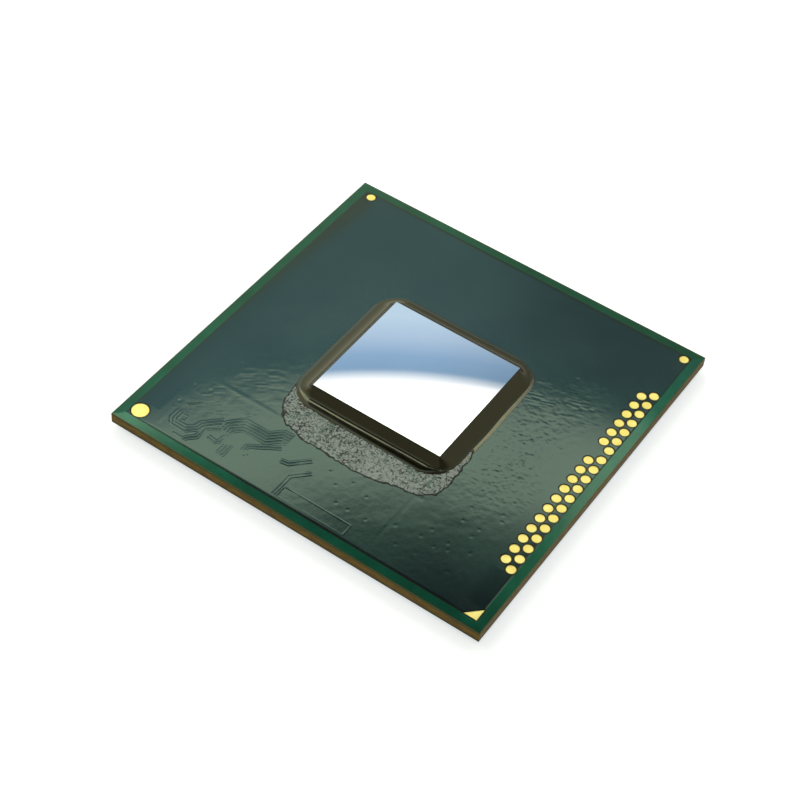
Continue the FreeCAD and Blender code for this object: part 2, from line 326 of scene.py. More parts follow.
def paintSky(plan):
    world = bpy.data.worlds.new("studio")
    bpy.context.scene.world = world
    world.use_nodes = True
    tree = world.node_tree
    tree.nodes.clear()
    direction = node(tree, "TexCoord").outputs["Generated"]
    along = alongAxis(tree, direction, plan["axis"])
    low, high = plan["bands"][0][0], plan["bands"][-1][0]
    stops = [((place - low) / (high - low), [channel / plan["brightest"] for channel in colour])
             for place, *colour in plan["bands"]]
    colour = ramp(tree, spread(tree, along, low, high, kind="LINEAR"), *stops)
    start = plan["stripStart"]
    strip = spread(tree, along, plan["bands"][start][0], plan["bands"][start + 1][0])
    beside = alongAxis(tree, direction, plan["side"])
    side = spread(tree, beside, plan["sideFrom"], plan["sideTo"], plan["sideShade"])
    ahead = alongAxis(tree, direction, plan["far"])
    far = spread(tree, ahead, plan["farFrom"], plan["farTo"], plan["nearShade"])
    kept = spread(tree, ahead, plan["stripFrom"], plan["stripTo"], plan["stripRest"])
    whole = math2(tree, "MAXIMUM", kept, math2(tree, "SUBTRACT", 1.0, strip))
    dimmed = math2(tree, "MULTIPLY", far, whole)
    lit = math2(tree, "MULTIPLY", math2(tree, "MAXIMUM", side, strip), dimmed)
    sky = node(tree, "Background",
               {"Color": colour, "Strength": math2(tree, "MULTIPLY", lit, plan["brightest"])})
    plain = node(tree, "Background", {"Color": (1, 1, 1, 1), "Strength": 1.0})
    seen = node(tree, "LightPath").outputs["Is Camera Ray"]
    choose = node(tree, "MixShader", {0: seen, 1: sky.outputs[0], 2: plain.outputs[0]})
    node(tree, "OutputWorld", {"Surface": choose.outputs[0]})


def layTable(plan):
    deselectAll()
    bpy.ops.mesh.primitive_plane_add(size=plan["tableSize"], location=(0, 0, 0))
    table = bpy.context.object
    table.name = "table"
    bakePlace(table)
    material, tree, shader = startMaterial("white_table")[:3]
    under = node(tree, "NewGeometry").outputs["Backfacing"]
    feedAll(tree, shader, {
        "Base Color": (0.93, 0.92, 0.91, 1), "Roughness": 0.6,
        "Emission Color": (0.93, 0.94, 1.0, 1), "Emission Strength": plan["tableGlow"],
        "Alpha": math2(tree, "SUBTRACT", 1.0, under)})       # see-through from below
    table.data.materials.append(material)


paintSky(studio)
layTable(studio)
bpy.context.scene.view_settings.view_transform = "Standard"
print("studio set")


# shader groups that several materials share
# a new group: inputs are (name, kind, value), outputs are (name, kind)
def newGroup(name, inputs, outputs):
    group = bpy.data.node_groups.new(name, "ShaderNodeTree")
    for label, kind, value in inputs:
        socket = group.interface.new_socket(label, in_out="INPUT", socket_type=kind)
        socket.default_value = value
    for label, kind in outputs:
        group.interface.new_socket(label, in_out="OUTPUT", socket_type=kind)
    source = group.nodes.new("NodeGroupInput")
    target = group.nodes.new("NodeGroupOutput")
    return group, source.outputs, target


def useGroup(tree, group, **inputs):
    return node(tree, "Group", inputs, node_tree=group).outputs


# sparse round specks of dust: a mask of 0 or 1
def buildSpecks():
    group, given, out = newGroup(
        "dustSpecks",
        [("Place", "NodeSocketVector", (0, 0, 0)), ("Scale", "NodeSocketFloat", 800.0),
         ("Size", "NodeSocketFloat", 0.12), ("Share", "NodeSocketFloat", 0.1)],
        [("Mask", "NodeSocketFloat")])
    cells = node(group, "TexVoronoi", {"Vector": given["Place"], "Scale": given["Scale"]})
    near = math2(group, "LESS_THAN", cells.outputs["Distance"], given["Size"])
    pick = node(group, "SeparateColor", {0: cells.outputs["Color"]})
    chosen = math2(group, "LESS_THAN", pick.outputs[0], given["Share"])
    feed(group, out, "Mask", math2(group, "MULTIPLY", near, chosen))
    return group


# a height of fine ripples over broad swells, for lacquer and resin
def buildOrangePeel():
    group, given, out = newGroup(
        "orangePeel",
        [("Place", "NodeSocketVector", (0, 0, 0)), ("Fine", "NodeSocketFloat", 6000.0),
         ("Broad", "NodeSocketFloat", 500.0), ("Share", "NodeSocketFloat", 0.5)],
        [("Height", "NodeSocketFloat")])
    fine = noiseValue(group, given["Place"], given["Fine"], 3.0, 0.55)
    broad = noiseValue(group, given["Place"], given["Broad"], 1.0, 0.4)
    made = node(group, "Mix", {0: given["Share"], 2: broad, 3: fine}, data_type="FLOAT")
    feed(group, out, "Height", made.outputs[0])
    return group


specks = buildSpecks()
orangePeel = buildOrangePeel()


# solder mask: a lacquered skin that shows the copper's relief under it
maskPlan = dict(
    fieldX=10.4, fieldY=11.7,              # the modelled relief runs this far from the middle
    patchX=-4.6, patchY=6.9,               # the corner beyond these has traces, and the finest mesh
    kneesX=(-10.4, -4.6, 5.2, 10.4), stepX=(0.055, 0.20, 0.08),
    kneesY=(-11.7, -6.6, 6.9, 11.7), stepY=(0.24, 0.055, 0.08), traceStep=0.028,
    planeEdge=11.90, shoulder=0.07, borderDrop=0.016, edgeRound=0.035,
    traceHeight=0.0038, orange=0.0005, sand=0.0018, swell=0.0020,
    dimpleDepth=0.0019, dimpleRadius=0.085, wrinkle=0.0019,
    sandAt=(-7.6, 1.0), sandReach=(2.2, 3.6),          # the worn place beside the pads
    calmX=3.0, calmY=8.7,                              # the swell dies out beyond these
    openingFrom=0.004,                                 # deeper faces belong to the openings
)


def bundle(lines, spacing, *path):
    return dict(lines=lines, spacing=spacing, path=[Vector((x, y)) for x, y in path])


traceBundles = [
    bundle(5, 0.205, (3.2, 7.95), (3.75, 7.95), (4.4, 8.6), (5.95, 8.6), (6.6, 9.25), (6.6, 9.7)),
    bundle(3, 0.205, (6.32, 9.75), (5.78, 10.3), (5.78, 11.25)),
    bundle(3, 0.205, (7.0, 9.1), (7.9, 10.0), (8.0, 10.4), (8.45, 10.85), (9.3, 10.85), (9.5, 10.6),
           (9.5, 9.95)),
    bundle(2, 0.205, (6.78, 9.57), (7.6, 10.15), (7.6, 10.95), (8.0, 11.35), (8.1, 11.6), (8.9, 11.6)),
    bundle(1, 0.150, (9.2, 10.05), (8.85, 10.05), (8.85, 10.45), (9.1, 10.45)),
    bundle(2, 0.200, (3.25, 8.65), (3.85, 9.05), (4.9, 9.75), (4.9, 10.1), (4.55, 10.35)),
    bundle(2, 0.200, (0.85, 9.1), (1.75, 10.05), (1.75, 11.62)),
    bundle(2, 0.200, (1.35, 8.35), (2.3, 9.35), (2.85, 9.45)),
    bundle(2, 0.190, (6.35, 10.0), (6.35, 10.4), (6.55, 10.6), (7.1, 10.5)),
    bundle(1, 0.150, (8.85, 8.75), (9.55, 9.35)),
    bundle(1, 0.110, (1.5, 10.8), (1.5, 11.6), (-3.0, 11.6), (-3.0, 10.8), (1.5, 10.8)),   # an empty frame
]
dimplePlan = dict(
    rows=9, columns=11, first=(-10.1, 3.2), step=(1.12, 0.86), stagger=0.56, jitter=0.30, kept=0.62,
    endX=0.4, endY=10.4,
    besideTongue=-6.6, pastTongue=8.2,                 # none under the resin's spill
    strays=[(10.05, 9.4), (10.1, 7.9), (10.05, 6.75), (9.1, 7.7), (9.0, 4.9), (8.3, 3.6), (9.7, 2.2),
            (7.6, 1.4), (9.2, -0.6), (-9.2, -4.6), (-7.3, -6.2), (-6.1, -3.4), (-4.8, -7.2), (-8.6, -2.4)],
)
# flow lines: the middle, the angle, the reach along and across, the pitch, and a seed
wrinkles = [(-6.9, -3.6, 0.30, 2.4, 1.7, 0.105, 5), (7.2, 5.9, 0.62, 2.6, 1.6, 0.17, 6),
            (6.6, 7.8, 0.80, 1.5, 1.0, 0.11, 7)]


# the point of a run nearest to each place: its share of the run, and its distance
def nearRun(x, y, start, run):
    across = (x - start[0]) * run[0] + (y - start[1]) * run[1]
    share = np.clip(across / (run[0] ** 2 + run[1] ** 2), 0, 1)
    return share, np.hypot(x - start[0] - share * run[0], y - start[1] - share * run[1])


# distance to a path, signed distance, how far along it the nearest point lies, and its length
def nearPath(x, y, path):
    best = np.full(x.shape, 1e9)
    side, along = np.zeros(x.shape), np.zeros(x.shape)
    done = 0.0
    for start, end in zip(path, path[1:]):
        run = end - start
        share, gap = nearRun(x, y, start, run)
        turn = np.sign((x - start.x) * run.y - (y - start.y) * run.x)
        closer = gap < best - 1e-9
        best = np.where(closer, gap, best)
        side = np.where(closer, turn * gap, side)
        along = np.where(closer, done + share * run.length, along)
        done += run.length
    return best, side, along, done


def traceRelief(x, y):
    height = np.zeros(x.shape)
    for made in traceBundles:
        gap, side, along, length = nearPath(x, y, made["path"])
        half = made["lines"] * made["spacing"] / 2
        phase = side / made["spacing"] + (0.5 if made["lines"] % 2 == 0 else 0.0)
        ridge = fade(np.cos(2 * math.pi * phase), -0.90, 0.20)
        inside = 1 - fade(gap, half - 0.03, half + 0.03)
        ends = fade(along, -0.01, 0.10) * (1 - fade(along, length - 0.10, length + 0.01))
        ends = ends * (0.55 + 0.45 * softNoise(x, y, 0.9, 27))
        height = np.maximum(height, ridge * inside * np.where(gap < half + 0.05, ends, 0))
    return height


# small soft dents over the vias: a staggered grid beside the pads, and a few strays
def dimpleField(x, y):
    plan = dimplePlan
    random = np.random.default_rng(11)
    spots = []
    for row in range(plan["rows"]):
        for column in range(plan["columns"]):
            px = plan["first"][0] + column * plan["step"][0] + (plan["stagger"] if row % 2 else 0.0)
            py = plan["first"][1] + row * plan["step"][1]
            jx, jy = random.uniform(-plan["jitter"], plan["jitter"], 2)
            keepIt = random.uniform() < plan["kept"] and px < plan["endX"] and py < plan["endY"]
            if keepIt and (py + jy > plan["pastTongue"] or px + jx < plan["besideTongue"]):
                spots.append((px + jx, py + jy))
    depth = np.zeros(x.shape)
    for px, py in spots + plan["strays"]:
        gap = np.hypot((x - px), (y - py))
        depth = np.maximum(depth, np.exp(-(gap / maskPlan["dimpleRadius"]) ** 2))
    return depth


# short flow lines that run off two corners of the underfill, and slanting ones beside the traces
def wrinkleField(x, y):
    lines = np.zeros(x.shape)
    for cx, cy, angle, reachA, reachB, pitch, seed in wrinkles:
        u = (x - cx) * math.cos(angle) + (y - cy) * math.sin(angle)
        v = -(x - cx) * math.sin(angle) + (y - cy) * math.cos(angle)
        window = np.exp(-(u / reachA) ** 2 - (v / reachB) ** 2)
        bend = v + 0.10 * softNoise(u, v, 1.2, seed + 20)
        broken = softNoise(u, bend * 3.1, 0.9, seed)
        ripple = softNoise(u * 0.22, bend, pitch, seed + 10)
        lines += window * fade(broken, -0.15, 0.45) * np.clip(ripple, -0.5, 1.0)
    return lines


# height of the lacquer over its own level, in mm, at places in mm
def maskHeight(x, y):
    plan = maskPlan
    inX = 1 - fade(np.abs(x), plan["fieldX"] - 0.5, plan["fieldX"] - 0.02)
    inY = 1 - fade(np.abs(y), plan["fieldY"] - 0.25, plan["fieldY"] - 0.02)
    seam = np.where(y > plan["patchY"] - 0.5, np.abs(x - plan["patchX"]), 9.0)
    seam = np.minimum(seam, np.where(x > plan["patchX"] - 0.5, np.abs(y - plan["patchY"]), 9.0))
    calm = 1 - fade(np.abs(x), plan["fieldX"] - plan["calmX"], plan["fieldX"])
    calm = calm * (1 - fade(np.abs(y), plan["calmY"], plan["fieldY"]))
    orange = softNoise(x, y, 0.34, 21) * 0.7 + softNoise(x, y, 0.19, 22) * 0.3
    (sandX, sandY), (reachX, reachY) = plan["sandAt"], plan["sandReach"]
    sandy = np.exp(-((x - sandX) / reachX) ** 2 - ((y - sandY) / reachY) ** 2)
    worn = (softNoise(x * 0.8, y, 0.14, 23) + 0.7 * softNoise(x, y, 0.23, 26)) * sandy
    swell = softNoise(x, y, 2.6, 24) + 0.5 * softNoise(x, y, 1.2, 25)
    height = plan["orange"] * orange + plan["sand"] * worn + plan["swell"] * swell * calm
    height = height - plan["dimpleDepth"] * dimpleField(x, y)
    height = height + plan["wrinkle"] * wrinkleField(x, y) + plan["traceHeight"] * traceRelief(x, y)
    return height * inX * inY * fade(seam, 0.01, 0.25)


# grid lines between the knees, each stretch with its own step
def lineUp(knees, steps):
    stretches = [np.linspace(low, high, round((high - low) / step), endpoint=False)
                 for low, high, step in zip(knees, knees[1:], steps)]
    return np.concatenate(stretches + [[knees[-1]]])


# a grid primitive whose lines go to the places given, and whose points go to a height
def gridPiece(name, xs, ys, height, level):
    deselectAll()
    bpy.ops.mesh.primitive_grid_add(x_subdivisions=len(xs) - 1, y_subdivisions=len(ys) - 1, size=2)
    thing = bpy.context.object
    thing.name = name
    places = pointsOf(thing.data)
    column = np.round((places[:, 0] + 1) / 2 * (len(xs) - 1)).astype(int)
    row = np.round((places[:, 1] + 1) / 2 * (len(ys) - 1)).astype(int)
    x, y = xs[column], ys[row]
    z = height(x, y)
    thing.data.vertices.foreach_set("co", np.column_stack([x * mm, y * mm, level + z * mm]).ravel())
    thing.data.update()
    return thing


goldPlan = dict(moat=0.075, edge=0.010, dish=0.006, ring=0.003, padReach=0.62, markReach=1.2, cutter=0.2)
goldDiscs = ("test_pads_outer_row", "test_pads_inner_row", "alignment_target", "alignment_dots")


# centre and radius of each gold disc of a CAD node, from the points within reach of one another
def discPlaces(name):
    left = pointsOf(nodes[name].data)
    reach = goldPlan["padReach" if name.startswith("test") else "markReach"] * mm
    found = []
    while len(left):
        near = np.hypot(left[:, 0] - left[0][0], left[:, 1] - left[0][1]) < reach
        low, high = left[near].min(0), left[near].max(0)
        centre = Vector(((low[0] + high[0]) / 2, (low[1] + high[1]) / 2, high[2]))
        found.append((centre, (high[0] - low[0]) / 2))
        left = left[~near]
    return found


def addCylinder(sides, radius, low, depth, centre):
    deselectAll()
    bpy.ops.mesh.primitive_cylinder_add(vertices=sides, radius=radius, depth=depth,
                                        location=(centre.x, centre.y, low + depth / 2))
    return bpy.context.object


# one object that holds a cutter for every gold mark, a little wider than the gold
def openingCutters():
    moat, deep = goldPlan["moat"] * mm, goldPlan["cutter"] * mm
    cutters = [addCylinder(40, radius + moat, copperTop, deep, centre)
               for name in goldDiscs for centre, radius in discPlaces(name)]
    low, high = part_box("pin_one_mark")
    deselectAll()
    middle = (low + high) / 2
    bpy.ops.mesh.primitive_cube_add(size=1, location=(middle.x, middle.y, copperTop + deep / 2))
    wedge = bpy.context.object
    wedge.scale = (high.x - low.x + 3 * moat, high.y - low.y + 3 * moat, deep)
    wedge.location.x += 0.5 * moat
    wedge.location.y -= 0.5 * moat
    bakePlace(wedge)
    corner = Vector((high.x + 1.6 * moat, high.y + 0.5 * moat, copperTop))
    editMode(wedge)
    selectAll()
    bpy.ops.mesh.bisect(plane_co=corner, plane_no=(1, -1, 0), use_fill=True, clear_outer=True)
    cutters.append(wedge)
    makeActive(*cutters)
    bpy.ops.object.join()
    bakePlace(bpy.context.object)
    return bpy.context.object


# the lacquer outside the trace corner, joined to a slab that has the openings cut in it
def makeMask():
    plan = maskPlan
    xs = lineUp(plan["kneesX"], plan["stepX"])
    ys = lineUp(plan["kneesY"], plan["stepY"])
    field = gridPiece("mask_field", xs, ys, maskHeight, surface)
    editMode(field)
    patchX, patchY = plan["patchX"] * mm, plan["patchY"] * mm
    pickFaces(field, lambda centre, normal: centre.x > patchX and centre.y > patchY)
    bpy.ops.mesh.delete(type="FACE")
    objectMode()

    margin = gridPiece("mask_margin", xs, ys, lambda x, y: x * 0, surface)
    edgeX, edgeY, tiny = plan["fieldX"] * mm, plan["fieldY"] * mm, 1e-7
    editMode(margin)
    selectAll()
    bpy.ops.mesh.delete(type="ONLY_FACE")
    bpy.ops.mesh.select_mode(type="EDGE")

    def onRim(a, b):
        alongY = abs(abs(a.x) - edgeX) < tiny and abs(abs(b.x) - edgeX) < tiny
        return alongY or (abs(abs(a.y) - edgeY) < tiny and abs(abs(b.y) - edgeY) < tiny)
    pickEdges(margin, lambda a, b: not onRim(a, b))
    bpy.ops.mesh.delete(type="EDGE")
    selectAll()
    edge, shoulder = plan["planeEdge"], plan["shoulder"]
    drop, edgeRound = plan["borderDrop"], plan["edgeRound"]
    levels = [(edge + out * shoulder, edge + out * shoulder, -down * drop)
              for out, down in ((-1, 0.0), (-1 / 3, 0.25), (0, 0.75), (1 / 2, 1.0))]
    levels.append((halfX / mm - edgeRound, halfY / mm - edgeRound, -drop))
    for degrees in (32, 63, 90):
        angle = math.radians(degrees)
        inward, down = edgeRound * (1 - math.sin(angle)), edgeRound * (1 - math.cos(angle)) / 2
        levels.append((halfX / mm - inward, halfY / mm - inward, -drop - down))
    levels.append((halfX / mm, halfY / mm, (maskLow.z - surface) / mm))
    wasX, wasY, wasZ = plan["fieldX"], plan["fieldY"], 0.0
    for atX, atY, atZ in levels:
        bpy.ops.mesh.extrude_region_move(TRANSFORM_OT_translate={"value": (0, 0, (atZ - wasZ) * mm)})
        bpy.ops.transform.resize(value=(atX / wasX, atY / wasY, 1), center_override=(0, 0, 0))
        wasX, wasY, wasZ = atX, atY, atZ
    bpy.ops.mesh.edge_face_add()
    pickEdges(margin, lambda a, b: onRim(a, b) and max(abs(a.x), abs(b.x)) < edgeX + tiny
              and max(abs(a.y), abs(b.y)) < edgeY + tiny)
    bpy.ops.mesh.edge_face_add()
    faceOutward()
    objectMode()
    cutters = openingCutters()
    applyModifier(margin, "BOOLEAN", operation="DIFFERENCE", object=cutters, solver="EXACT")
    bpy.data.objects.remove(cutters)
    editMode(margin)
    lid = max(margin.data.polygons, key=lambda face: face.area * (face.normal.z > 0.9)).center.copy()
    pickFaces(margin, lambda centre, normal: centre == lid)
    bpy.ops.mesh.delete(type="ONLY_FACE")
    objectMode()
    makeActive(margin, field)
    bpy.ops.object.join()
    editMode(margin)
    selectAll()
    bpy.ops.mesh.remove_doubles(threshold=2e-7)
    objectMode()
    smoothByAngle(margin, 40)
    return margin


# the trace corner
def makeTraceCorner():
    plan = maskPlan
    xs = lineUp((plan["patchX"], plan["fieldX"]), (plan["traceStep"],))
    ys = lineUp((plan["patchY"], plan["fieldY"]), (plan["traceStep"],))
    corner = gridPiece("mask_traces", xs, ys, maskHeight, surface)
    smoothAll(corner)
    return corner


# the bare ring between a gold mark and the lacquer, painted dark brown as shade in the recess
def openingShadeMaterial():
    material, tree, shader, place = startMaterial("bare_opening_painted_shade")
    # painted shade: near-black brown, mottled at random
    shadeMottle = noiseValue(tree, place, 3000.0, 3.0)
    feedAll(tree, shader, {
        "Base Color": ramp(tree, shadeMottle, (0.3, (0.030, 0.010, 0.005)), (0.7, (0.060, 0.022, 0.010))),
        "Roughness": greyRamp(tree, shadeMottle, (0.3, 0.55), (0.7, 0.75)),
        "Specular IOR Level": 0.2})
    return material


maskLook = dict(
    overCopper=((0.0075, 0.0222, 0.0182), (0.0108, 0.0282, 0.0224)),
    overFilm=((0.0008, 0.068, 0.034), (0.0022, 0.104, 0.054)),
    sawnEdge=(0.100, 0.080, 0.012, 1),
    gloss=(0.10, 0.15), borderGloss=(0.14, 0.20), borderMetal=0.42, coat=0.50, borderCoat=0.36,
)


def maskMaterial():
    look = maskLook
    material, tree, shader, place = startMaterial("solder_mask_green")
    split = node(tree, "SeparateXYZ", {0: place})
    outward = math2(tree, "MAXIMUM", math2(tree, "ABSOLUTE", split.outputs[0]),
                    math2(tree, "ABSOLUTE", split.outputs[1]))
    ragged = math2(tree, "MULTIPLY", noiseValue(tree, place, 900.0, 3.0), 0.05 * mm)
    reach = math2(tree, "ADD", outward, ragged)
    edge = maskPlan["planeEdge"] * mm
    bare = spread(tree, reach, edge - 0.03 * mm, edge + 0.08 * mm)
    sawn = spread(tree, reach, halfX - 0.035 * mm, halfX - 0.005 * mm)
    cloud = noiseValue(tree, place, 220.0, 3.0)
    overCopper = ramp(tree, cloud, (0.3, look["overCopper"][0]), (0.7, look["overCopper"][1]))
    patch = noiseValue(tree, place, 500.0, 2.0)
    overFilm = ramp(tree, patch, (0.3, look["overFilm"][0]), (0.7, look["overFilm"][1]))
    green = mixColour(tree, bare, overCopper, overFilm)
    (low, high), (borderLow, borderHigh) = look["gloss"], look["borderGloss"]
    glossy = greyRamp(tree, cloud, (0.2, low), (0.8, high))
    soft = greyRamp(tree, cloud, (0.2, borderLow), (0.8, borderHigh))
    feedAll(tree, shader, {
        "Base Color": mixColour(tree, sawn, green, look["sawnEdge"]),
        "Metallic": greyRamp(tree, bare, (0.0, 1.0), (1.0, look["borderMetal"])),
        "Roughness": mixColour(tree, bare, glossy, soft),
        "Coat Weight": greyRamp(tree, bare, (0.0, look["coat"]), (1.0, look["borderCoat"])),
        "Coat Roughness": 0.06, "Coat IOR": 1.5, "Specular IOR Level": 0.12})
    peel = useGroup(tree, orangePeel, Place=place, Fine=9000.0, Broad=1500.0, Share=0.7)
    worn = greyRamp(tree, noiseValue(tree, place, 330.0, 2.0), (0.35, 0.30), (0.65, 1.0))
    addBump(tree, shader, peel["Height"], worn, 0.002)
    return material


maskGreen = maskMaterial()
bareOpeningShade = openingShadeMaterial()
mask = finishPiece(makeMask(), "solder_mask", [maskGreen, bareOpeningShade], "solder_mask", "solder_mask_top")
# the walls and floors of the openings take the painted shade
plane, under = maskPlan["planeEdge"] * mm, surface - maskPlan["openingFrom"] * mm
useSecond(mask, lambda centre, normal: max(abs(centre.x), abs(centre.y)) < plane and centre.z < under)
finishPiece(makeTraceCorner(), "solder_mask_traces", [maskGreen], "solder_mask", "solder_mask_top")


# gold marks: plated discs and the pin-one triangle, each in its opening
def goldMaterial():
    material, tree, shader, place = startMaterial("plated_gold")
    grain = noiseValue(tree, place, 9000.0, 4.0, 0.65)
    patch = noiseValue(tree, place, 1600.0, 2.0)
    feedAll(tree, shader, {
        "Base Color": ramp(tree, patch, (0.3, (0.86, 0.66, 0.17)), (0.7, (0.93, 0.76, 0.26))),
        "Roughness": greyRamp(tree, grain, (0.25, 0.26), (0.75, 0.40)),
        "Metallic": 1.0})
    addBump(tree, shader, grain, 0.35, 0.003)
    return material


# a disc with a rounded edge and a shallow dish, and the bare ring round it
def goldDisc(centre, radius):
    disc = addCylinder(36, radius, copperTop, centre.z - copperTop, centre)
    bakePlace(disc)
    edge, dish = goldPlan["edge"] * mm, goldPlan["dish"] * mm
    editMode(disc)
    pickFaces(disc, lambda at, normal: normal.z > 0.9)
    for inward, down in ((edge * 0.4, -edge * 0.10), (edge * 0.6, 0.0), (radius * 0.18, -dish * 0.30),
                         (radius * 0.22, -dish * 0.15), (radius * 0.25, dish * 0.05)):
        bpy.ops.mesh.inset(thickness=inward, depth=down)
    objectMode()
    ring = addCylinder(36, radius + goldPlan["moat"] * mm, copperTop, goldPlan["ring"] * mm, centre)
    bakePlace(ring)
    rim = centre.z - 0.1 * edge
    for vertex in disc.data.vertices:
        out = math.hypot(vertex.co.x - centre.x, vertex.co.y - centre.y)
        if out > radius * 0.999 and vertex.co.z > rim:
            vertex.co.z -= edge * 0.35
    return disc, ring


def makeDiscs(name):
    discs = [piece for centre, radius in discPlaces(name) for piece in goldDisc(centre, radius)]
    makeActive(*discs)
    bpy.ops.object.join()
    smoothByAngle(bpy.context.object, 50)
    return bpy.context.object


gold = goldMaterial()
ringTop = copperTop + 1.2 * goldPlan["ring"] * mm
for name in goldDiscs:
    discs = finishPiece(makeDiscs(name), name + "_gold", [gold, bareOpeningShade], "gold", name)
    # the bare ring round each disc takes the painted shade
    useSecond(discs, lambda centre, normal: centre.z < ringTop)
dressNodes(gold, "pin_one_mark")


# die: polished silicon with sawn sides, its edges chipped a little
diePlan = dict(chip=0.006)


def dieMaterials():
    polished, tree, shader, place = startMaterial("polished_silicon")
    dust = useGroup(tree, specks, Place=place, Scale=900.0, Size=0.055, Share=0.09)["Mask"]
    haze = noiseValue(tree, place, 300.0, 2.0)
    clean = ramp(tree, haze, (0.3, (0.385, 0.395, 0.415)), (0.7, (0.400, 0.410, 0.430)))
    feedAll(tree, shader, {
        "Base Color": mixColour(tree, dust, clean, (0.10, 0.13, 0.12, 1)),
        "Metallic": math2(tree, "SUBTRACT", 1.0, dust),
        "Roughness": greyRamp(tree, haze, (0.2, 0.010), (0.8, 0.020))})
    sawn, tree, shader, place = startMaterial("sawn_silicon")
    streak = node(tree, "Mapping", {"Vector": place, "Scale": (0.15, 0.15, 6.0)})
    lines = noiseValue(tree, streak.outputs[0], 9000.0, 3.0)
    feedAll(tree, shader, {
        "Base Color": ramp(tree, lines, (0.3, (0.10, 0.10, 0.11)), (0.7, (0.17, 0.17, 0.18))),
        "Roughness": greyRamp(tree, lines, (0.3, 0.35), (0.7, 0.55)),
        "Metallic": 0.8})
    addBump(tree, shader, lines, 0.3, 0.004)
    return polished, sawn


def makeDie():
    deselectAll()
    bpy.ops.mesh.primitive_cube_add(size=1, location=(dieLow + dieHigh) / 2)
    die = bpy.context.object
    die.scale = dieHigh - dieLow
    bakePlace(die)
    applyModifier(die, "BEVEL", width=diePlan["chip"] * mm, segments=2, limit_method="ANGLE")
    makeActive(die)
    bpy.ops.object.shade_flat()
    return die


polishedSilicon, sawnSilicon = dieMaterials()
die = finishPiece(makeDie(), "die", [sawnSilicon, polishedSilicon], "silicon", "silicon_die")
useSecond(die, lambda centre, normal: normal.z > 0.99)
dressNodes(sawnSilicon, "die_wiring")


# underfill: glossy resin drawn up the die's sides, with a rounded bead at its foot
fillPlan = dict(
    footRadius=1.90, dieRadius=0.03, aroundSide=44, aroundCorner=18,
    # share of the way out from the die, and height over the mask in mm; past 1 is a thin skirt
    profile=[(0.0, 0.672), (0.012, 0.675), (0.032, 0.672), (0.050, 0.655), (0.075, 0.615), (0.105, 0.560),
             (0.140, 0.500), (0.190, 0.426), (0.250, 0.352), (0.320, 0.284), (0.400, 0.224),
             (0.480, 0.179), (0.560, 0.148), (0.620, 0.134), (0.665, 0.1272), (0.700, 0.1251),
             (0.725, 0.1247), (0.745, 0.1245), (0.765, 0.1241), (0.790, 0.1232), (0.820, 0.1155),
             (0.855, 0.0985), (0.890, 0.0825), (0.925, 0.0630), (0.955, 0.0430), (0.980, 0.0230),
             (1.0, 0.0060), (1.3, 0.0045), (1.7, 0.0035), (1.9, 0.0), (2.0, -0.0080)],
    crest=0.745,                       # where the bead's crest is in the profile
    crestFar=0.86, crestLeft=0.93, crestBack=(0.53, 0.60),
    wetNear=0.62, wetSlope=0.85,       # on the two near sides the resin wets the die less high
    leftHollow=2.2, leftFoot=0.0055, leftFall=0.0009,  # the left side has no bead
    skirt=0.25, skirtElsewhere=0.01,                   # and its foot bleeds out flat
    unevenFoot=0.030, unevenHeight=0.0025,
    backFrom=0.1, backTo=1.1, leftFrom=0.1, leftTo=0.8,       # where these sides start, past the die
    loops=40,                          # whole loops from the die to the foot
)


# points round a rectangle with rounded corners, anticlockwise from the +X side
def roundedLoop(right, back, left, front, radius, side, corner):
    centres = ((right - radius, back - radius), (-left + radius, back - radius),
               (-left + radius, -front + radius), (right - radius, -front + radius))
    points = []
    for quarter, (cx, cy) in enumerate(centres):
        for step in range(corner + 1):
            angle = (quarter + step / corner) * math.pi / 2
            points.append((cx + radius * math.cos(angle), cy + radius * math.sin(angle)))
        nextX, nextY = centres[(quarter + 1) % 4]
        endX, endY = nextX + radius * math.cos(angle), nextY + radius * math.sin(angle)
        startX, startY = points[-1]
        for step in range(1, side):
            share = step / side
            points.append((startX + (endX - startX) * share, startY + (endY - startY) * share))
    return np.array(points)


